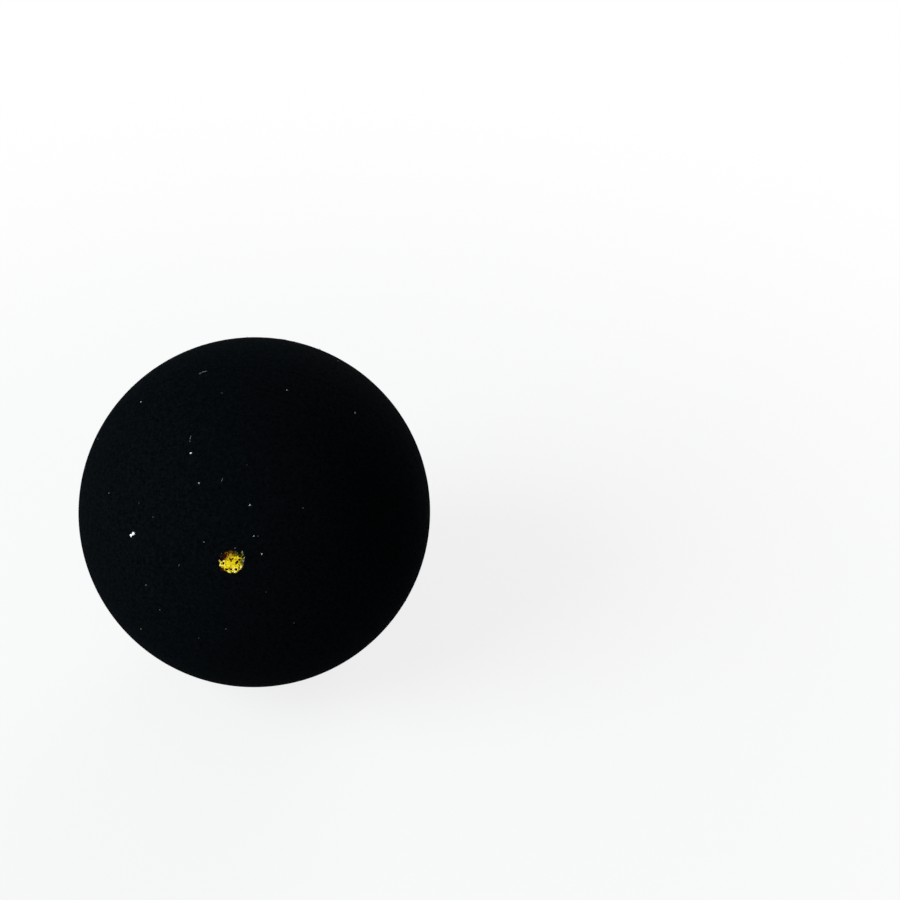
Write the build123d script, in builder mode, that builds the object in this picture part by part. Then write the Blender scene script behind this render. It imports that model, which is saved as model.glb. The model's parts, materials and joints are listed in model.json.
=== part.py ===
from build123d import *

import os

# Squash ball: a hollow rubber ball, made of two moulded half shells that are cemented rim to rim,
# with one small printed dot that tells the player how fast the ball is.
# The origin is the centre of the ball and +Z is up. The seam lies in the XZ plane, so the half shells
# face -Y (front) and +Y (back), and the dot is on the front half, raised towards +Z.

# Driving dimensions, in millimetres and degrees
ball_diameter = 40.0  # over the buffed outside
wall_thickness = 5.0  # of both half shells
cement_thickness = 0.2  # of the film between the two rims
bead_radius = 0.6  # of the cement squeezed out along the seam, inside the ball
dot_diameter = 2.8
dot_thickness = 0.04  # of the ink film
dot_elevation = 23.0  # of the dot's middle above the level of the ball's centre

# Sizes that follow from them
ball_radius = ball_diameter / 2
cavity_radius = ball_radius - wall_thickness
rim_setback = cement_thickness / 2  # of each rim from the plane of the seam

os.makedirs("parts", exist_ok=True)

# Front half shell: a bowl of even wall whose flat rim stops short of the seam by half the cement film
with BuildPart() as front_half_shell:
    with BuildSketch(Plane.XY) as wall_section:
        Circle(ball_radius)
        Circle(cavity_radius, mode=Mode.SUBTRACT)
        with Locations((0, -rim_setback)):
            Rectangle(ball_diameter, ball_diameter, align=(Align.MIN, Align.MAX), mode=Mode.INTERSECT)
    revolve(axis=Axis.Y)

front_half_shell.part.label = "front_half_shell"
export_step(front_half_shell.part, "parts/front_half_shell.step")

# Back half shell: a second moulding from the same tool, turned to meet the first rim to rim
with BuildPart() as back_half_shell:
    mirror(front_half_shell.part, about=Plane.XZ)

back_half_shell.part.label = "back_half_shell"
export_step(back_half_shell.part, "parts/back_half_shell.step")

# Seam cement: the film between the rims, buffed flush with the ball outside, and the half-round bead
# that was pressed out of the joint and cured against the cavity wall on both sides of it
with BuildPart() as seam_cement:
    with BuildSketch(Plane.XY) as cement_section:
        with Locations((cavity_radius, 0)):
            Circle(bead_radius)
        Circle(cavity_radius, mode=Mode.INTERSECT)
        with Locations((cavity_radius - bead_radius / 2, 0)):
            Rectangle(ball_diameter, cement_thickness, align=(Align.MIN, Align.CENTER))
        Circle(ball_radius, mode=Mode.INTERSECT)
    revolve(axis=Axis.Y)

seam_cement.part.label = "seam_cement"
export_step(seam_cement.part, "parts/seam_cement.step")

# Yellow dot: a thin round film of ink that follows the curve of the front half shell
dot_plane = Plane.XY.rotated((180 - dot_elevation, 0, 0))

with BuildPart() as yellow_dot:
    with BuildSketch(dot_plane) as ink_section:
        Circle(ball_radius + dot_thickness)
        Circle(ball_radius, mode=Mode.SUBTRACT)
        Rectangle(dot_diameter / 2, ball_diameter, align=(Align.MIN, Align.MIN), mode=Mode.INTERSECT)
    revolve(axis=Axis(dot_plane.origin, dot_plane.y_dir))

yellow_dot.part.label = "yellow_dot"
export_step(yellow_dot.part, "parts/yellow_dot.step")
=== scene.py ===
import json
import random
from math import acos, cos, pi, radians, sin, sqrt

import bmesh
import bpy
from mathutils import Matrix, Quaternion, Vector, noise


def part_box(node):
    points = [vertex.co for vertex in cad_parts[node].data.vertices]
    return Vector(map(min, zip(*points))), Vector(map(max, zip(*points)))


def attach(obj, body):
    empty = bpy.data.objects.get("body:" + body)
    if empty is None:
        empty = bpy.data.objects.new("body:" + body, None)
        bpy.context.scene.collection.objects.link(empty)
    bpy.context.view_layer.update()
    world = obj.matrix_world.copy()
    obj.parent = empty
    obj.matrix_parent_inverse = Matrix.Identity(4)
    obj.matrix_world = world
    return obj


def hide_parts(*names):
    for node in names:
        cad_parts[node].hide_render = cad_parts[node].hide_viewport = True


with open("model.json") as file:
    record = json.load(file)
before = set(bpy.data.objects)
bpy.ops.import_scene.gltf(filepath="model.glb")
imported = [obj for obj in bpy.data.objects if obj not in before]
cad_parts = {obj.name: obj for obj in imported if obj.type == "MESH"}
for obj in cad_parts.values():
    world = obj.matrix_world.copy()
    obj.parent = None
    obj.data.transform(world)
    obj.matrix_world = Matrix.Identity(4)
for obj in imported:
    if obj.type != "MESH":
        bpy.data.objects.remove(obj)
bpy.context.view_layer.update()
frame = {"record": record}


# The two half shells: bowls of black filled rubber, pressed hot in the same mould and joined rim to rim.
# The closed ball is tumbled against abrasive wheels, which leaves the outside matt and finely torn,
# while the inside keeps the smooth skin of the mould.
ball_radius = frame["record"]["mounts"][0]["dims"]["r_mm"] / 1000
wall = 0.005  # in metres, as every size here
cavity_radius = ball_radius - wall
mould_skin = 0.0005  # from the cavity outwards, until the rubber is as rough as the outside
rim_setback = -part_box("front_half_shell")[1].y
facing = {"front_half_shell": 0.0, "back_half_shell": pi}
outside_cells = 80  # along half an edge of the cube that the outside is blown from
cavity_cells = 10
buffing_depth = 0.000028
buffing_grain = 0.00045
buffing_seed = 7.0
fine_tears = 9000.0  # to a metre, as are the coarse ones and the pores
coarse_tears = 2400.0
coarse_share = 0.45
open_pores = 3000.0
pore_wander = 0.0002
pore_depth = 0.12  # as a share of the relief of the tears
tear_relief = 0.00008
# From the pores to the highest grain: painted shade in the pores, and on the tops partly real buffing wear
# and partly painted light
rubber_tones_with_painted_pore_shade = [(0.46, (0.0004, 0.0005, 0.0006, 1.0)), (0.76, (0.0035, 0.0050, 0.0060, 1.0))]
rubber_sheen = (0.85, 0.93, 1.0, 1.0)


def wire(tree, kind, sockets=None, **settings):
    """Adds a node, sets its options, and gives each named or numbered input a link or a value."""
    made = tree.nodes.new(kind)
    for option, choice in settings.items():
        setattr(made, option, choice)
    for socket, given in (sockets or {}).items():
        if isinstance(given, bpy.types.NodeSocket):
            tree.links.new(given, made.inputs[socket])
        else:
            made.inputs[socket].default_value = given
    return made


def start_tree(name, inputs):
    """A geometry tree with these named inputs. Returns it with its input node."""
    tree = bpy.data.node_groups.new(name, "GeometryNodeTree")
    tree.interface.new_socket("Geometry", in_out="INPUT", socket_type="NodeSocketGeometry")
    for socket, kind in inputs.items():
        tree.interface.new_socket(socket, in_out="INPUT", socket_type="NodeSocket" + kind)
    tree.interface.new_socket("Geometry", in_out="OUTPUT", socket_type="NodeSocketGeometry")
    return tree, tree.nodes.new("NodeGroupInput")


def end_tree(tree, geometry, material):
    """Every tree ends in plain, smooth-shaded faces with their material."""
    smooth = wire(tree, "GeometryNodeSetShadeSmooth", {"Geometry": geometry})
    plain = wire(tree, "GeometryNodeRealizeInstances", {"Geometry": smooth.outputs[0]})
    coated = wire(tree, "GeometryNodeSetMaterial", {"Geometry": plain.outputs[0], "Material": material})
    wire(tree, "NodeGroupOutput", {"Geometry": coated.outputs[0]})


def grow(name, mesh, tree, values):
    """Runs a tree on a mesh with these input values and returns the finished mesh."""
    seedbed = bpy.data.objects.new(name, mesh)
    bpy.context.scene.collection.objects.link(seedbed)
    modifier = seedbed.modifiers.new(tree.name, "NODES")
    modifier.node_group = tree
    for socket in tree.interface.items_tree:
        if socket.in_out == "INPUT" and socket.name in values:
            modifier[socket.identifier] = values[socket.name]
    graph = bpy.context.evaluated_depsgraph_get()
    grown = bpy.data.meshes.new_from_object(seedbed.evaluated_get(graph), depsgraph=graph)
    grown.name = name
    bpy.data.objects.remove(seedbed)
    return grown


def start_material(name):
    """A new material. Returns it with its tree and its shader."""
    material = bpy.data.materials.new(name)
    material.use_nodes = True
    return material, material.node_tree, material.node_tree.nodes["Principled BSDF"]


def colour_ramp(tree, amount, stops):
    """Runs an amount through a ramp of (amount, colour) stops and returns the colour."""
    ramp = wire(tree, "ShaderNodeValToRGB", {"Fac": amount})
    first, *between, last = stops
    for element, stop in zip(ramp.color_ramp.elements, (first, last)):
        element.position, element.color = stop
    for position, colour in between:
        ramp.color_ramp.elements.new(position).color = colour
    return ramp.outputs["Color"]


def piece(name, mesh, node=None):
    """Puts a finished mesh in the scene as a piece of the ball, in place of its CAD node if it has one."""
    made = bpy.data.objects.new(name, mesh)
    bpy.context.scene.collection.objects.link(made)
    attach(made, "root")
    if node:
        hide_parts(node)
    return made


def bowl_tree():
    """Half of a cube, blown out to a bowl that opens towards +Y, turned to its side and buffed."""
    tree, given = start_tree("rubber_bowl", {
        "Radius": "Float",
        "Cells": "Int",
        "Rim setback": "Float",
        "Turn": "Float",
        "Buffing depth": "Float",
        "Buffing grain": "Float",
        "Seed": "Float",
        "Rubber": "Material",
    })
    # The half of the cube in front of the seam, with no face on the seam's side
    half_side = wire(tree, "ShaderNodeMath", {0: given.outputs["Cells"], 1: 1.0}, operation="ADD")
    full_side = wire(tree, "ShaderNodeMath", {0: given.outputs["Cells"], 1: 2.0, 2: 1.0},
                     operation="MULTIPLY_ADD")
    cube = wire(tree, "GeometryNodeMeshCube", {
        "Size": (2.0, 1.0, 2.0),
        "Vertices X": full_side.outputs[0],
        "Vertices Y": half_side.outputs[0],
        "Vertices Z": full_side.outputs[0],
    })
    front = wire(tree, "GeometryNodeTransform", {"Geometry": cube.outputs["Mesh"],
                                                 "Translation": (0.0, -0.5, 0.0)})
    facing_out = wire(tree, "ShaderNodeSeparateXYZ",
                      {0: wire(tree, "GeometryNodeInputNormal").outputs[0]})
    on_seam = wire(tree, "ShaderNodeMath", {0: facing_out.outputs["Y"], 1: 0.5}, operation="GREATER_THAN")
    opened = wire(tree, "GeometryNodeDeleteGeometry",
                  {"Geometry": front.outputs[0], "Selection": on_seam.outputs[0]}, domain="FACE")

    # Blown out to the radius, where the tangent keeps the cells even
    place = wire(tree, "GeometryNodeInputPosition").outputs[0]
    even = wire(tree, "ShaderNodeVectorMath", {0: place, "Scale": pi / 4}, operation="SCALE")
    bent = wire(tree, "ShaderNodeVectorMath", {0: even.outputs[0]}, operation="TANGENT")
    outward = wire(tree, "ShaderNodeVectorMath", {0: bent.outputs[0]}, operation="NORMALIZE")
    blown = wire(tree, "ShaderNodeVectorMath",
                 {0: outward.outputs[0], "Scale": given.outputs["Radius"]}, operation="SCALE")

    # Held back to the level of the rim, then turned to its side of the ball
    apart = wire(tree, "ShaderNodeSeparateXYZ", {0: blown.outputs[0]})
    rim_level = wire(tree, "ShaderNodeMath", {0: 0.0, 1: given.outputs["Rim setback"]},
                     operation="SUBTRACT")
    held_back = wire(tree, "ShaderNodeMath", {0: apart.outputs["Y"], 1: rim_level.outputs[0]},
                     operation="MINIMUM")
    trimmed = wire(tree, "ShaderNodeCombineXYZ", {"X": apart.outputs["X"], "Y": held_back.outputs[0],
                                                  "Z": apart.outputs["Z"]})
    bowl = wire(tree, "GeometryNodeSetPosition",
                {"Geometry": opened.outputs[0], "Position": trimmed.outputs[0]})
    about_z = wire(tree, "ShaderNodeCombineXYZ", {"Z": given.outputs["Turn"]})
    turned = wire(tree, "GeometryNodeTransform",
                  {"Geometry": bowl.outputs[0], "Rotation": about_z.outputs[0]})

    # Buffed: the grain is cut into the rubber and never stands above the radius
    per_metre = wire(tree, "ShaderNodeMath", {0: 1.0, 1: given.outputs["Buffing grain"]},
                     operation="DIVIDE")
    torn = wire(tree, "ShaderNodeTexNoise",
                {"Vector": place, "W": given.outputs["Seed"], "Scale": per_metre.outputs[0],
                 "Detail": 2.0, "Roughness": 0.6}, noise_dimensions="4D")
    below = wire(tree, "ShaderNodeMath", {0: torn.outputs["Fac"], 1: 1.0}, operation="SUBTRACT")
    cut = wire(tree, "ShaderNodeMath", {0: below.outputs[0], 1: given.outputs["Buffing depth"]},
               operation="MULTIPLY")
    away = wire(tree, "ShaderNodeVectorMath", {0: place}, operation="NORMALIZE")
    ground = wire(tree, "ShaderNodeVectorMath", {0: away.outputs[0], "Scale": cut.outputs[0]},
                  operation="SCALE")
    buffed = wire(tree, "GeometryNodeSetPosition",
                  {"Geometry": turned.outputs[0], "Offset": ground.outputs[0]})
    end_tree(tree, buffed.outputs[0], given.outputs["Rubber"])
    return tree


def buffed_rubber():
    """Near-black rubber: torn grain, open pores a third of a millimetre apart, and hardly any shine. Its
    colour is painted shade in the pores and painted light on the highest grain, besides the tops' real
    wear.
    """
    material, tree, shader = start_material("buffed_rubber")
    shader.inputs["Specular IOR Level"].default_value = 0.0004
    shader.inputs["Sheen Weight"].default_value = 0.0016
    shader.inputs["Sheen Roughness"].default_value = 0.4
    shader.inputs["Sheen Tint"].default_value = rubber_sheen
    place = wire(tree, "ShaderNodeTexCoord").outputs["Object"]
    fine = wire(tree, "ShaderNodeTexNoise", {"Vector": place, "Scale": fine_tears, "Detail": 5.0,
                                             "Roughness": 0.75})
    coarse = wire(tree, "ShaderNodeTexNoise", {"Vector": place, "Scale": coarse_tears, "Detail": 3.0,
                                               "Roughness": 0.7})
    torn_place = wire(tree, "ShaderNodeVectorMath", {0: fine.outputs["Color"], 1: (pore_wander,) * 3,
                                                     2: place}, operation="MULTIPLY_ADD")
    pores = wire(tree, "ShaderNodeTexVoronoi", {"Vector": torn_place.outputs[0], "Scale": open_pores})
    ground = wire(tree, "ShaderNodeMapRange", {"Value": pores.outputs["Distance"], "From Min": 0.12,
                                               "From Max": 0.34}, interpolation_type="SMOOTHSTEP")
    grain = wire(tree, "ShaderNodeMix", {"Factor": coarse_share, 2: fine.outputs["Fac"],
                                         3: coarse.outputs["Fac"]})
    height = wire(tree, "ShaderNodeMath", {0: ground.outputs[0], 1: pore_depth, 2: grain.outputs[0]},
                  operation="MULTIPLY_ADD")
    # The colour follows the height of the grain: painted shade in the pores, painted light on the tops
    tree.links.new(colour_ramp(tree, height.outputs[0], rubber_tones_with_painted_pore_shade), shader.inputs["Base Color"])
    dullness = wire(tree, "ShaderNodeMapRange", {"Value": grain.outputs[0], "From Min": 0.35,
                                                 "From Max": 0.65, "To Min": 0.95, "To Max": 0.60})
    tree.links.new(dullness.outputs[0], shader.inputs["Roughness"])
    from_middle = wire(tree, "ShaderNodeVectorMath", {0: place}, operation="LENGTH").outputs["Value"]
    skin = wire(tree, "ShaderNodeMapRange", {"Value": from_middle, "From Min": cavity_radius,
                                             "From Max": cavity_radius + mould_skin, "To Min": 0.05,
                                             "To Max": 0.8})
    relief = wire(tree, "ShaderNodeBump", {"Strength": skin.outputs[0], "Distance": tear_relief,
                                           "Height": height.outputs[0]})
    tree.links.new(relief.outputs[0], shader.inputs["Normal"])
    return material


def half_shell(name, tree, rubber):
    """Joins the buffed outside and the smooth cavity wall along the flat rim into one closed bowl."""
    both = {"Rim setback": rim_setback, "Turn": facing[name], "Seed": buffing_seed, "Rubber": rubber,
            "Buffing grain": buffing_grain}
    outside = grow("outside", bpy.data.meshes.new("outside"), tree, {
        **both, "Radius": ball_radius, "Cells": outside_cells, "Buffing depth": buffing_depth})
    inside = grow("inside", bpy.data.meshes.new("inside"), tree, {
        **both, "Radius": cavity_radius, "Cells": cavity_cells, "Buffing depth": 0.0})
    bowl = bmesh.new()
    bowl.from_mesh(inside)
    for face in bowl.faces:
        face.normal_flip()
    bowl.from_mesh(outside)
    rims = [edge for edge in bowl.edges if edge.is_boundary]
    for edge in rims:
        edge.smooth = False
    for face in bmesh.ops.bridge_loops(bowl, edges=rims)["faces"]:
        face.smooth = False
    bmesh.ops.recalc_face_normals(bowl, faces=bowl.faces)
    mesh = bpy.data.meshes.new(name)
    bowl.to_mesh(mesh)
    bowl.free()
    mesh.materials.append(rubber)
    bpy.data.meshes.remove(outside)
    bpy.data.meshes.remove(inside)
    return mesh


rubber = buffed_rubber()
bowls = bowl_tree()
for shell in facing:
    piece(shell + "_rubber", half_shell(shell, bowls, rubber), shell)


# The cement: two coats of rubber solution that cured into a thin dark film between the flat rims.
# What was squeezed out inside stands as a half-round bead, and outside the film was buffed a hair
# lower than the rubber, so the seam shows only as a fine line.
bead_radius = 0.0006
bead_steps = 14
film_recess = 0.00003
seam_steps = 480
crease = radians(40)  # edges that turn by more stay sharp
cement_streaks = 2600.0  # to a metre
cement_relief = 0.00003
cement_shades = [(0.3, (0.0009, 0.0009, 0.0010, 1.0)), (0.7, (0.0030, 0.0033, 0.0036, 1.0))]


def cured_cement():
    """Black cement, a little smoother than the buffed rubber beside it."""
    material, tree, shader = start_material("rubber_cement")
    shader.inputs["Specular IOR Level"].default_value = 0.0006
    place = wire(tree, "ShaderNodeTexCoord").outputs["Object"]
    streaks = wire(tree, "ShaderNodeTexNoise", {"Vector": place, "Scale": cement_streaks, "Detail": 3.0})
    tree.links.new(colour_ramp(tree, streaks.outputs["Fac"], cement_shades), shader.inputs["Base Color"])
    dullness = wire(tree, "ShaderNodeMapRange", {"Value": streaks.outputs["Fac"], "To Min": 0.85,
                                                 "To Max": 0.55})
    tree.links.new(dullness.outputs[0], shader.inputs["Roughness"])
    relief = wire(tree, "ShaderNodeBump", {"Strength": 0.4, "Distance": cement_relief,
                                           "Height": streaks.outputs["Fac"]})
    tree.links.new(relief.outputs[0], shader.inputs["Normal"])
    return material


def cement_section():
    """The film and its bead as (distance from the seam's axis, distance from the seam's plane)."""
    film_inside = sqrt(cavity_radius**2 - rim_setback**2)
    opening = acos(-bead_radius / (2 * cavity_radius))
    bead = []
    for step in range(bead_steps + 1):
        angle = opening + (2 * pi - 2 * opening) * step / bead_steps
        bead.append((cavity_radius + bead_radius * cos(angle), bead_radius * sin(angle)))
    film_outside = ball_radius - film_recess
    return [(film_outside, rim_setback), (film_inside, rim_setback), *bead,
            (film_inside, -rim_setback), (film_outside, -rim_setback)]


def cement_ring(material):
    """Turns the section right round the Y axis."""
    section = cement_section()
    ring = bmesh.new()
    turns = []
    for step in range(seam_steps):
        angle = 2 * pi * step / seam_steps
        turns.append([ring.verts.new((out * cos(angle), along, out * sin(angle)))
                      for out, along in section])
    for here, ahead in zip(turns, turns[1:] + turns[:1]):
        for corner in range(len(section)):
            ring.faces.new((here[corner - 1], here[corner], ahead[corner], ahead[corner - 1]))
    bmesh.ops.recalc_face_normals(ring, faces=ring.faces)
    for face in ring.faces:
        face.smooth = True
    for edge in ring.edges:
        edge.smooth = edge.calc_face_angle() < crease
    mesh = bpy.data.meshes.new("seam_cement_ring")
    ring.to_mesh(mesh)
    ring.free()
    mesh.materials.append(material)
    return mesh


piece("seam_cement_ring", cement_ring(cured_cement()), "seam_cement")


# The speed dot: one round stamp of yellow ink on the buffed rubber. The torn grain takes the ink unevenly,
# so the edge is ragged, pits stay black inside it, the film is worn thin at the top and on the right,
# and it dried thicker in beads along the rim. These beads are coloured pale cream as a painted highlight,
# as are the lips of the lower pits. Places on the dot are in shares of its radius, across and up.
dot_low, dot_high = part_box("yellow_dot")
dot_radius = (dot_high.x - dot_low.x) / 2
dot_elevation = 23
ink_film = 0.00004  # where it is thickest
ink_root = 0.000035  # in the grain of the rubber
ink_cell = 0.00002  # a side of the net's triangles
ink_margin = 0.003
ink_seed = 11
net_width = 2.5

# Where the ink ends: each wave has its fineness, its shift and its height
stamp_radius = 0.88
stamp_lean = 0.05
stamp_pitch = 3.1
stamp_waves = [(1.0, 0, 0.06), (2.7, 0, 0.04)]
ragged_waves = [(3.3, 5, 0.035), (8.0, 0, 0.025)]

# How deep it is, in shares of the full film: less towards the top, more on the lips of the lower pits. The
# deepest film is coloured as a painted highlight
depth_middle = 0.63
depth_lean = 0.12
depth_pitch = 2.3
depth_shift = 3
depth_waves = [(1.0, 0, 0.18), (3.1, 0, 0.20)]
depth_least = 0.10
lip_depth = 0.20
lip_inside = 0.06
lip_reach = 0.05
lip_middle = 0.45
lip_lean = 0.8
edge_depth = 0.3
edge_taper = 0.04

# Pits as (across, up, radius), and beads and worn places with the depth that they add or take away
ink_pits = [
    (0.40, 0.02, 0.095), (0.46, 0.09, 0.055), (0.61, 0.23, 0.080), (-0.02, 0.22, 0.054),
    (-0.11, 0.31, 0.050), (0.06, 0.29, 0.044), (0.11, 0.34, 0.040), (-0.01, 0.11, 0.048),
    (-0.74, 0.20, 0.110), (-0.60, -0.08, 0.085), (-0.66, 0.34, 0.060), (-0.54, 0.36, 0.050),
    (-0.40, -0.55, 0.075), (-0.32, -0.54, 0.060), (-0.04, -0.53, 0.050), (0.03, -0.54, 0.050),
    (0.34, -0.53, 0.090), (0.27, 0.55, 0.042), (0.50, 0.63, 0.055), (-0.74, -0.12, 0.045),
    (0.61, 0.72, 0.120), (0.64, 0.50, 0.080), (0.55, -0.48, 0.045), (0.93, -0.48, 0.220),
    (1.05, -0.28, 0.210), (0.10, -0.92, 0.150), (-0.42, -0.86, 0.170), (0.68, -0.76, 0.220),
    (-0.98, -0.08, 0.080), (-0.64, 0.84, 0.140), (-0.14, -0.96, 0.150), (-0.62, 0.52, 0.060),
    (-0.45, 0.55, 0.050), (-0.86, 0.34, 0.070), (0.18, 0.76, 0.045), (0.38, 0.72, 0.040),
    (-0.02, -0.74, 0.055),
]
# Beads that add depth are coloured pale cream, a painted highlight on the ink's edge
ink_beads = [
    (-0.55, 0.10, 0.100, 1.0), (0.15, -0.55, 0.100, 1.0), (0.70, -0.34, 0.110, 0.9),
    (-0.84, -0.24, 0.090, 0.8), (-0.21, -0.70, 0.075, 0.9), (-0.89, 0.11, 0.070, 0.3),
    (0.28, -0.72, 0.070, 0.7), (0.92, 0.30, 0.065, -0.2), (0.80, 0.76, 0.070, -0.2),
    (0.84, 0.60, 0.075, -0.2), (0.78, 0.22, 0.085, -0.1), (0.84, 0.05, 0.100, -0.1),
    (-0.45, 0.74, 0.065, 0.1), (-0.72, -0.55, 0.130, -0.6), (-0.80, 0.46, 0.110, -0.6),
]
ink_worn = [
    (-0.66, 0.46, 0.48, 0.90), (-0.10, 0.86, 0.50, 0.40), (0.88, 0.05, 0.38, 0.60),
    (0.40, 0.85, 0.45, 0.40), (0.84, 0.64, 0.30, 0.30), (-0.74, -0.56, 0.32, 0.90),
    (-0.12, -0.52, 0.26, 0.45), (-0.05, 0.24, 0.22, 0.30),
]
fine_pits = 120
fine_pit_least = 0.010
fine_pit_spread = 0.024
fine_pits_in_middle = 0.25  # of as many as at the rim

# Its colours, from the thinnest film to a pale cream painted highlight on the beads and lips, and what
# shows where the rubber comes through
ink_shades_with_painted_glints = [
    (0.30, (0.23, 0.12, 0.004, 1.0)), (0.50, (0.53, 0.33, 0.006, 1.0)), (0.66, (0.83, 0.63, 0.010, 1.0)),
    (0.84, (0.95, 0.78, 0.016, 1.0)), (1.0, (0.95, 0.84, 0.42, 1.0)),
]
left_stain = (0.078, 0.010, 0.001, 1.0)
right_stain = (0.170, 0.210, 0.012, 1.0)
left_stain_to = -0.15
right_stain_from = 0.65
bare_rubber = (0.001, 0.001, 0.001, 1.0)
ink_speckle = 9000.0  # to a metre
ink_unevenness = 0.4
ink_relief = 0.00003


def direction(azimuth, elevation):
    """The way out of the ball at these angles, in degrees. Azimuth 0 is its front and 90 its right."""
    turn, rise = radians(azimuth), radians(elevation)
    return Vector((sin(turn) * cos(rise), -cos(turn) * cos(rise), sin(rise)))


def ink_pit_list():
    """The large pits and, between them, fine ones that crowd towards the rim."""
    draw = random.Random(ink_seed)
    pits = list(ink_pits)
    while len(pits) < len(ink_pits) + fine_pits:
        across, up = draw.uniform(-1, 1), draw.uniform(-1, 1)
        size = fine_pit_least + fine_pit_spread * draw.random()**2
        outwards = across**2 + up**2
        crowding = fine_pits_in_middle + (1 - fine_pits_in_middle) * outwards
        if outwards < 1 and draw.random() < crowding:
            pits.append((across, up, size))
    return pits


def reach(across, up, round_spot):
    """How far a place lies inside a round spot. Below zero it is outside."""
    return round_spot[2] - sqrt((across - round_spot[0])**2 + (up - round_spot[1])**2)


def swell(across, up, round_spots):
    """What spots add at a place: the whole of their depth in their middles and nothing at their edges."""
    return sum(spot[3] * max(0.0, reach(across, up, spot)) / spot[2] for spot in round_spots)


def ripple(place, waves):
    """The sum of some waves of noise at a place."""
    return sum(height * noise.noise(place * fineness + Vector((shift, 0, 0)))
               for fineness, shift, height in waves)


def ink_cover(across, up, pits):
    """How far a place lies inside the ink. Below zero the rubber is bare. Places right on the ink's edge
    count as a little inside, so that the edge never runs through a corner of the net."""
    place = Vector((across * stamp_pitch, up * stamp_pitch, ink_seed))
    stamp = stamp_radius + stamp_lean * up + ripple(place, stamp_waves) - sqrt(across**2 + up**2)
    hollow = -max(reach(across, up, pit) for pit in pits)
    bead = max(reach(across, up, spot) for spot in ink_beads)
    cover = max(min(stamp, hollow), bead) + ripple(place, ragged_waves)
    return cover if abs(cover) > ink_margin else ink_margin


def ink_depth(across, up, cover):
    """The film's depth as a share of the full one: worn in places, thick in beads and on the pits' lips."""
    place = Vector((across * depth_pitch, up * depth_pitch, ink_seed + depth_shift))
    body = depth_middle - depth_lean * up + ripple(place, depth_waves) - swell(across, up, ink_worn)
    # The lips of the lower pits are thicker, and deep enough to be coloured as a painted highlight
    low_side = min(1.0, max(0.0, lip_middle - lip_lean * up))
    lip = lip_depth * low_side * max(0.0, 1 - abs(cover - lip_inside) / lip_reach)
    full = min(1.0, max(depth_least, body + lip + swell(across, up, ink_beads)))
    return full * min(1.0, edge_depth + cover / edge_taper)


def ink_mesh(material):
    """Cuts a fine net of triangles where the ink ends, wraps it on the ball and gives it a closed edge."""
    pits = ink_pit_list()
    across_cells = round(net_width * dot_radius / ink_cell)
    row_height = ink_cell * sqrt(3) / 2
    rows = round(net_width * dot_radius / row_height)
    spots = []
    for row in range(rows + 1):
        for column in range(across_cells + 1):
            across = (column - across_cells / 2 + (row % 2) / 2) * ink_cell / dot_radius
            up = (row - rows / 2) * row_height / dot_radius
            spots.append((across, up, ink_cover(across, up, pits)))
    triangles = []
    for row in range(rows):
        for column in range(across_cells):
            here = row * (across_cells + 1) + column
            above = here + across_cells + 1
            if row % 2:
                triangles += [(here, here + 1, above + 1), (here, above + 1, above)]
            else:
                triangles += [(here, here + 1, above), (here + 1, above + 1, above)]
    net = bmesh.new()
    depth_layer = net.verts.layers.float.new("ink_depth")
    made = {}

    def corner(first, second):
        """The net's vertex at one place, or where the ink ends between two."""
        key = (min(first, second), max(first, second))
        if key not in made:
            x0, y0, inside = spots[key[0]]
            x1, y1, beyond = spots[key[1]]
            share = 0.0 if first == second else inside / (inside - beyond)
            across, up = x0 + (x1 - x0) * share, y0 + (y1 - y0) * share
            made[key] = net.verts.new((across, up, 0.0))
            made[key][depth_layer] = ink_depth(across, up, inside if first == second else 0.0)
        return made[key]

    # The top of the film
    for triangle in triangles:
        outline = []
        for here, ahead in zip(triangle, triangle[1:] + triangle[:1]):
            if spots[here][2] > 0:
                outline.append(corner(here, here))
            if (spots[here][2] > 0) != (spots[ahead][2] > 0):
                outline.append(corner(here, ahead))
        if len(outline) > 2:
            net.faces.new(outline)

    # The underside, and the walls that close the film along the edges of the ink
    top_faces = list(net.faces)
    ink_edges = [loop for face in top_faces for loop in face.loops if loop.edge.is_boundary]
    under = {vert: net.verts.new(vert.co, vert) for vert in list(net.verts)}
    for face in top_faces:
        net.faces.new([under[vert] for vert in reversed(face.verts)])
    for loop in ink_edges:
        start, end = loop.vert, loop.link_loop_next.vert
        net.faces.new((end, start, under[start], under[end]))

    # Wrapped on the ball, with the underside rooted in the rubber
    rooted = set(under.values())
    dot_outward = direction(0, dot_elevation)
    dot_across = Vector((1, 0, 0))
    dot_up = dot_outward.cross(dot_across)
    for vert in net.verts:
        side = (dot_across * vert.co.x + dot_up * vert.co.y) * dot_radius
        height = -ink_root if vert in rooted else ink_film * vert[depth_layer]
        vert.co = (dot_outward * ball_radius + side).normalized() * (ball_radius + height)
    for face in net.faces:
        face.smooth = True
    mesh = bpy.data.meshes.new("yellow_dot_ink")
    net.to_mesh(mesh)
    net.free()
    mesh.materials.append(material)
    return mesh


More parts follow.
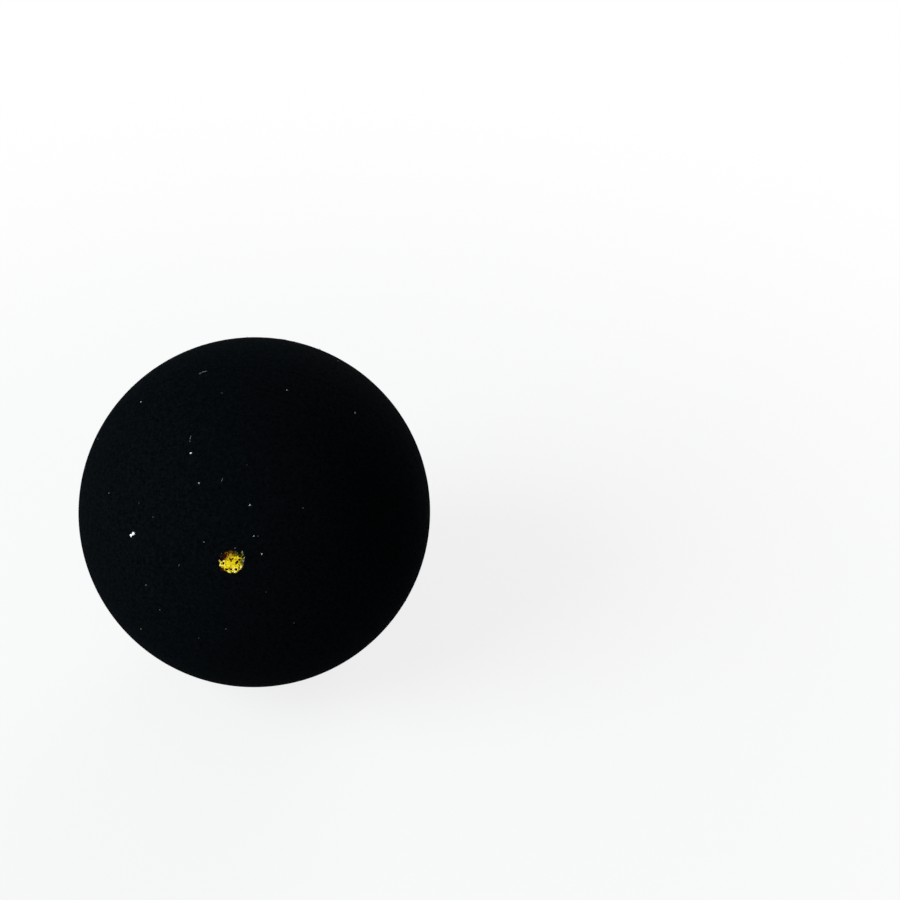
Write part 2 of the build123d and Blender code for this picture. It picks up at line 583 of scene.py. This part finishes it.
def stamped_ink():
    """Yellow ink, gold where it is thinner, with a pale cream painted highlight where it is thickest, in
    the beads and on the pits' lips. The thinnest film lets the rubber through: red-brown on the left of the
    dot and olive green on its right."""
    material, tree, shader = start_material("yellow_ink")
    shader.inputs["Specular IOR Level"].default_value = 0.03
    place = wire(tree, "ShaderNodeTexCoord").outputs["Object"]
    depth = wire(tree, "ShaderNodeAttribute", attribute_name="ink_depth")
    speckle = wire(tree, "ShaderNodeTexNoise", {"Vector": place, "Scale": ink_speckle, "Detail": 3.0})
    uneven = wire(tree, "ShaderNodeMath", {0: speckle.outputs["Fac"], 1: ink_unevenness,
                                           2: -ink_unevenness / 2}, operation="MULTIPLY_ADD")
    amount = wire(tree, "ShaderNodeMath", {0: depth.outputs["Fac"], 1: uneven.outputs[0]},
                  operation="ADD")
    sideways = wire(tree, "ShaderNodeSeparateXYZ", {0: place}).outputs["X"]
    right_side = wire(tree, "ShaderNodeMapRange", {"Value": sideways,
                                                   "From Min": left_stain_to * dot_radius,
                                                   "From Max": right_stain_from * dot_radius})
    stain = wire(tree, "ShaderNodeMix", {"Factor": right_side.outputs[0], 6: left_stain, 7: right_stain},
                 data_type="RGBA")
    veil = wire(tree, "ShaderNodeMapRange", {"Value": amount.outputs[0], "From Max": 0.30, "To Min": 0.03})
    thin_film = wire(tree, "ShaderNodeMix", {"Factor": veil.outputs[0], 6: bare_rubber,
                                             7: stain.outputs[2]}, data_type="RGBA")
    body = wire(tree, "ShaderNodeMapRange", {"Value": amount.outputs[0], "From Min": 0.12,
                                             "From Max": 0.50}, interpolation_type="SMOOTHSTEP")
    # The deepest film, in beads and on lips, is coloured cream as a painted highlight
    ink = wire(tree, "ShaderNodeMix", {"Factor": body.outputs[0], 6: thin_film.outputs[2],
                                       7: colour_ramp(tree, amount.outputs[0], ink_shades_with_painted_glints)},
               data_type="RGBA")
    tree.links.new(ink.outputs[2], shader.inputs["Base Color"])
    dullness = wire(tree, "ShaderNodeMapRange", {"Value": speckle.outputs["Fac"], "To Min": 0.60,
                                                 "To Max": 0.34})
    tree.links.new(dullness.outputs[0], shader.inputs["Roughness"])
    relief = wire(tree, "ShaderNodeBump", {"Strength": 0.5, "Distance": ink_relief,
                                           "Height": speckle.outputs["Fac"]})
    tree.links.new(relief.outputs[0], shader.inputs["Normal"])
    return material


piece("yellow_dot_ink", ink_mesh(stamped_ink()), "yellow_dot")


# The camera stands where the photograph was taken from: above the ball and a little to the right of the
# dot, so the dot faces it low on the left. The ball lies left of the middle of the frame.
view_azimuth = 9.2
view_elevation = 38.2
view_distance = 0.2192
aim_right = 0.02288
aim_up = 0.00533
frame_pixels = 900
focal_pixels = 1900

towards_camera = direction(view_azimuth, view_elevation)
frame_right = Vector((cos(radians(view_azimuth)), sin(radians(view_azimuth)), 0))
frame_up = towards_camera.cross(frame_right)
camera_data = bpy.data.cameras.new("photo_view")
camera_data.lens = camera_data.sensor_width * focal_pixels / frame_pixels
camera_data.clip_start = 0.01
camera = bpy.data.objects.new("photo_view", camera_data)
camera.location = towards_camera * view_distance
aim = frame_right * aim_right + frame_up * aim_up
camera.rotation_euler = (aim - camera.location).to_track_quat("-Z", "Y").to_euler()
bpy.context.scene.collection.objects.link(camera)
bpy.context.scene.camera = camera


# Dust and lint: crumbs of chalky filler from the buffing wheels and short cotton hairs from the cloth that
# wiped the ball. They cling to the tacky rubber by themselves, half sunk in its grain, all over the ball.
# Those that the camera sees best lie where the photograph shows them, in pixels of its frame.
seen_crumbs = {
    (133.4, 533.6): 0.00048, (131.2, 535.4): 0.00036, (191, 453): 0.00025, (199, 483): 0.00019,
    (250, 505): 0.00021, (262, 554): 0.00020, (254, 536): 0.00018, (287, 390): 0.00018, (355, 413): 0.00018,
    (141, 402): 0.00019, (303, 508): 0.00013, (109, 493): 0.00016, (204, 542): 0.00015, (179, 565): 0.00015,
    (146, 585): 0.00014, (160, 610): 0.00014, (141, 629): 0.00015, (199, 638): 0.00012, (226, 629): 0.00013,
    (266, 592): 0.00012, (294, 623): 0.00012, (222, 393): 0.00012, (258, 536): 0.00013, (139, 503): 0.00013,
    (235, 548): 0.00014, (338, 361): 0.00013, (98, 439): 0.00013, (153, 517): 0.00011, (247, 465): 0.00011,
    (242.4, 551.8): 0.00016, (244.2, 557.8): 0.00018, (243.4, 561.2): 0.00019, (219.4, 560.3): 0.00017,
    (221.4, 553.5): 0.00012,
}
seen_hairs = [
    [(199, 374), (203, 372), (207, 371)],
    [(191, 436), (190, 439), (190, 442)],
    [(223, 478), (222, 480), (221, 482)],
]
thin_crumb = 0.00011
thick_crumb = 0.00032
least_white = 0.03
crumb_shapes = 3
crumb_variety = 3.7
crumb_raggedness = 0.9
crumb_slimness = (0.5, 0.9)
crumb_flatness = 0.5
hair_radius = 0.000013
hair_white = 0.36
dust_seed = 5
dust_powder = 16000.0  # to a metre
dust_unevenness = 0.3
dust_shades = [(0.0, (0.05, 0.05, 0.055, 1.0)), (1.0, (0.90, 0.90, 0.90, 1.0))]

# The rest lies on the sides that the photograph doesn't show, but not underneath, where the ball rubs
stray_lowest = -0.8 * ball_radius
stray_nearest = 0.1 * ball_radius
stray_crumbs = 60
stray_crumb_least = 0.00010
stray_crumb_spread = 0.00018
stray_hairs = 7
stray_hair_steps = 3
stray_hair_step = (0.00025, 0.00045)
stray_hair_bend = 0.6


def spot_on_ball(x, y):
    """Where the camera's ray through a pixel meets the ball."""
    middle = frame_pixels / 2
    ray = camera.rotation_euler.to_matrix() @ Vector((x - middle, middle - y, -focal_pixels))
    ray.normalize()
    nearest = -camera.location.dot(ray)
    half_chord = sqrt(ball_radius**2 - camera.location.length_squared + nearest**2)
    return camera.location + ray * (nearest - half_chord)


def stray_spot(draw):
    """A random place for a crumb or a hair that the photograph doesn't show."""
    while True:
        spot = Vector((draw.gauss(0, 1), draw.gauss(0, 1), draw.gauss(0, 1))).normalized() * ball_radius
        if spot.z > stray_lowest and spot.dot(towards_camera) < stray_nearest:
            return spot


def stray_hair(draw):
    """The points of a random hair, which bends a little at each of its steps."""
    hair = [stray_spot(draw)]
    step = hair[0].orthogonal().normalized() * draw.uniform(*stray_hair_step)
    step.rotate(Quaternion(hair[0], draw.uniform(0, 2 * pi)))
    while len(hair) <= stray_hair_steps:
        step.rotate(Quaternion(hair[0], draw.uniform(-stray_hair_bend, stray_hair_bend)))
        hair.append((hair[-1] + step).normalized() * ball_radius)
    return hair


def dust_places():
    """A loose vertex with its width for each crumb, and a chain of edges for each hair.
    The wider a crumb is, the whiter it is, because the rubber's black shows through a thin one."""
    draw = random.Random(dust_seed)
    dust = bmesh.new()
    width = dust.verts.layers.float.new("width")
    white = dust.verts.layers.float.new("white")
    crumbs = [(spot_on_ball(*pixel), across) for pixel, across in seen_crumbs.items()]
    for count in range(stray_crumbs):
        crumbs.append((stray_spot(draw), stray_crumb_least + stray_crumb_spread * draw.random()**3))
    for spot, across in crumbs:
        crumb = dust.verts.new(spot)
        crumb[width] = across
        crumb[white] = min(1.0, max(least_white, (across - thin_crumb) / (thick_crumb - thin_crumb)))
    hairs = [[spot_on_ball(*pixel) for pixel in hair] for hair in seen_hairs]
    hairs += [stray_hair(draw) for count in range(stray_hairs)]
    for hair in hairs:
        points = [dust.verts.new(spot) for spot in hair]
        for point in points:
            point[white] = hair_white
        for here, ahead in zip(points, points[1:]):
            dust.edges.new((here, ahead))
    mesh = bpy.data.meshes.new("dust_places")
    dust.to_mesh(mesh)
    dust.free()
    return mesh


def dust_tree():
    """Puts a ragged flat crumb on each loose vertex and runs a fine hair along each chain of edges."""
    tree, given = start_tree("dust_and_lint", {"Hair radius": "Float", "Seed": "Int", "Dust": "Material"})
    place = wire(tree, "GeometryNodeInputPosition").outputs[0]

    # A few crumbs to pick from, one unit wide
    shapes = wire(tree, "GeometryNodeJoinGeometry")
    for shape in range(crumb_shapes):
        grit = wire(tree, "GeometryNodeMeshIcoSphere", {"Radius": 0.5, "Subdivisions": 2})
        ragged = wire(tree, "ShaderNodeTexNoise", {"Vector": place, "W": shape * crumb_variety,
                                                   "Scale": 1.9, "Detail": 1.0}, noise_dimensions="4D")
        centred = wire(tree, "ShaderNodeVectorMath", {0: ragged.outputs["Color"], 1: (0.5, 0.5, 0.5)},
                       operation="SUBTRACT")
        pulled = wire(tree, "ShaderNodeVectorMath", {0: centred.outputs[0], "Scale": crumb_raggedness},
                      operation="SCALE")
        crumb = wire(tree, "GeometryNodeSetPosition", {"Geometry": grit.outputs["Mesh"],
                                                       "Offset": pulled.outputs[0]})
        apart = wire(tree, "GeometryNodeGeometryToInstance", {0: crumb.outputs[0]})
        tree.links.new(apart.outputs[0], shapes.inputs[0])

    # Laid flat on the ball, each at its own width, slimness and turn
    width = wire(tree, "GeometryNodeInputNamedAttribute", {"Name": "width"}, data_type="FLOAT")
    is_crumb = wire(tree, "ShaderNodeMath", {0: width.outputs[0], 1: 0.0}, operation="GREATER_THAN")
    upright = wire(tree, "FunctionNodeAlignRotationToVector", {"Vector": place}, axis="Z")
    spin = wire(tree, "FunctionNodeRandomValue", {2: 0.0, 3: 2 * pi, "Seed": given.outputs["Seed"]})
    about_z = wire(tree, "ShaderNodeCombineXYZ", {"Z": spin.outputs[1]})
    turned = wire(tree, "FunctionNodeRotateRotation",
                  {"Rotation": upright.outputs[0], "Rotate By": about_z.outputs[0]}, rotation_space="LOCAL")
    slim = wire(tree, "FunctionNodeRandomValue", {2: crumb_slimness[0], 3: crumb_slimness[1],
                                                  "Seed": given.outputs["Seed"]})
    shape_ratio = wire(tree, "ShaderNodeCombineXYZ", {"X": 1.0, "Y": slim.outputs[1], "Z": crumb_flatness})
    size = wire(tree, "ShaderNodeVectorMath", {0: shape_ratio.outputs[0], "Scale": width.outputs[0]},
                operation="SCALE")
    crumbs = wire(tree, "GeometryNodeInstanceOnPoints", {
        "Points": given.outputs["Geometry"], "Selection": is_crumb.outputs[0],
        "Instance": shapes.outputs[0], "Pick Instance": True, "Rotation": turned.outputs[0],
        "Scale": size.outputs[0]})

    # Hairs run smoothly through their points
    chains = wire(tree, "GeometryNodeMeshToCurve", {"Mesh": given.outputs["Geometry"]})
    bent = wire(tree, "GeometryNodeCurveSplineType", {"Curve": chains.outputs[0]},
                spline_type="CATMULL_ROM")
    round_section = wire(tree, "GeometryNodeCurvePrimitiveCircle", {"Radius": given.outputs["Hair radius"],
                                                                    "Resolution": 6})
    hairs = wire(tree, "GeometryNodeCurveToMesh", {"Curve": bent.outputs[0],
                                                   "Profile Curve": round_section.outputs[0],
                                                   "Fill Caps": True})
    both = wire(tree, "GeometryNodeJoinGeometry", {0: crumbs.outputs[0]})
    tree.links.new(hairs.outputs[0], both.inputs[0])
    end_tree(tree, both.outputs[0], given.outputs["Dust"])
    return tree


def settled_dust():
    """Chalky off-white, matt and a little uneven, and grey where a crumb is thin."""
    material, tree, shader = start_material("settled_dust")
    shader.inputs["Specular IOR Level"].default_value = 0.1
    place = wire(tree, "ShaderNodeTexCoord").outputs["Object"]
    white = wire(tree, "ShaderNodeAttribute", attribute_name="white")
    powder = wire(tree, "ShaderNodeTexNoise", {"Vector": place, "Scale": dust_powder, "Detail": 2.0})
    uneven = wire(tree, "ShaderNodeMath", {0: powder.outputs["Fac"], 1: dust_unevenness,
                                           2: -dust_unevenness / 2}, operation="MULTIPLY_ADD")
    amount = wire(tree, "ShaderNodeMath", {0: white.outputs["Fac"], 1: uneven.outputs[0]}, operation="ADD")
    tree.links.new(colour_ramp(tree, amount.outputs[0], dust_shades), shader.inputs["Base Color"])
    dullness = wire(tree, "ShaderNodeMapRange", {"Value": powder.outputs["Fac"], "To Min": 0.95,
                                                 "To Max": 0.75})
    tree.links.new(dullness.outputs[0], shader.inputs["Roughness"])
    return material


dust_values = {"Hair radius": hair_radius, "Seed": dust_seed, "Dust": settled_dust()}
piece("dust_and_lint", grow("dust_and_lint", dust_places(), dust_tree(), dust_values))


# The floor and the light: a white table, a large cool softbox on the left, weaker ones overhead and behind,
# and a dim room. Close to the ball the table keeps a soft shadow, and beyond that it is plain white.
# A softbox's level is about how bright it alone makes a white card that faces it from the ball's place.
floor_reach = 3.0
floor_sides = 96
floor_white = (0.70, 0.70, 0.70, 1.0)
floor_plain_near = 0.82
floor_plain_from = 0.03
floor_plain_to = 0.16
plain_white = (1.0, 1.0, 1.0, 1.0)
room_level = 0.06
softboxes = {
    "left_softbox": {"azimuth": -60, "elevation": 34, "distance": 0.60, "side": 0.40, "level": 1.30,
                     "colour": (0.87, 0.94, 1.0)},
    "top_softbox": {"azimuth": -40, "elevation": 75, "distance": 0.70, "side": 0.60, "level": 0.16,
                    "colour": (1.0, 0.98, 0.96)},
    "rear_softbox": {"azimuth": 160, "elevation": 14, "distance": 0.70, "side": 0.36, "level": 0.85,
                     "colour": (0.97, 0.98, 1.0)},
}


def seen_directly(tree):
    """1 for what the camera sees, straight or through gloss and glass, and 0 for the light on the ball."""
    path = wire(tree, "ShaderNodeLightPath")
    either = wire(tree, "ShaderNodeMath", {0: path.outputs["Is Camera Ray"],
                                           1: path.outputs["Is Glossy Ray"]}, operation="MAXIMUM")
    return wire(tree, "ShaderNodeMath", {0: either.outputs[0], 1: path.outputs["Is Transmission Ray"]},
                operation="MAXIMUM").outputs[0]


def white_table():
    """A matt white top that fades to plain white away from the ball."""
    material, tree, shader = start_material("white_table")
    shader.inputs["Base Color"].default_value = floor_white
    shader.inputs["Roughness"].default_value = 0.9
    shader.inputs["Specular IOR Level"].default_value = 0.1
    place = wire(tree, "ShaderNodeTexCoord").outputs["Object"]
    from_ball = wire(tree, "ShaderNodeVectorMath", {0: place}, operation="LENGTH")
    fade = wire(tree, "ShaderNodeMapRange", {"Value": from_ball.outputs["Value"],
                                             "From Min": floor_plain_from, "From Max": floor_plain_to,
                                             "To Min": floor_plain_near, "To Max": 1.0},
                interpolation_type="SMOOTHSTEP")
    share = wire(tree, "ShaderNodeMath", {0: fade.outputs[0], 1: seen_directly(tree)},
                 operation="MULTIPLY")
    plain = wire(tree, "ShaderNodeEmission", {"Color": plain_white, "Strength": 1.0})
    blend = wire(tree, "ShaderNodeMixShader", {0: share.outputs[0], 1: shader.outputs[0],
                                               2: plain.outputs[0]})
    tree.links.new(blend.outputs[0], tree.nodes["Material Output"].inputs["Surface"])
    return material


table = bmesh.new()
bmesh.ops.create_circle(table, cap_ends=True, segments=floor_sides, radius=floor_reach)
table_mesh = bpy.data.meshes.new("table_top")
table.to_mesh(table_mesh)
table.free()
table_mesh.materials.append(white_table())
table_top = bpy.data.objects.new("table_top", table_mesh)
table_top.location.z = -ball_radius
bpy.context.scene.collection.objects.link(table_top)

for name, box in softboxes.items():
    lamp_data = bpy.data.lights.new(name, "AREA")
    lamp_data.size = box["side"]
    lamp_data.color = box["colour"]
    lamp_data.energy = box["level"] * pi**2 * box["distance"]**2
    lamp = bpy.data.objects.new(name, lamp_data)
    towards_lamp = direction(box["azimuth"], box["elevation"])
    lamp.location = towards_lamp * box["distance"]
    lamp.rotation_euler = towards_lamp.to_track_quat("Z", "Y").to_euler()
    bpy.context.scene.collection.objects.link(lamp)

room = bpy.data.worlds.new("room")
room.use_nodes = True
backdrop = room.node_tree.nodes["Background"]
backdrop.inputs["Color"].default_value = plain_white
level = wire(room.node_tree, "ShaderNodeMapRange", {"Value": seen_directly(room.node_tree),
                                                    "To Min": room_level, "To Max": 1.0})
room.node_tree.links.new(level.outputs[0], backdrop.inputs["Strength"])
bpy.context.scene.world = room
bpy.context.scene.view_settings.view_transform = "Standard"
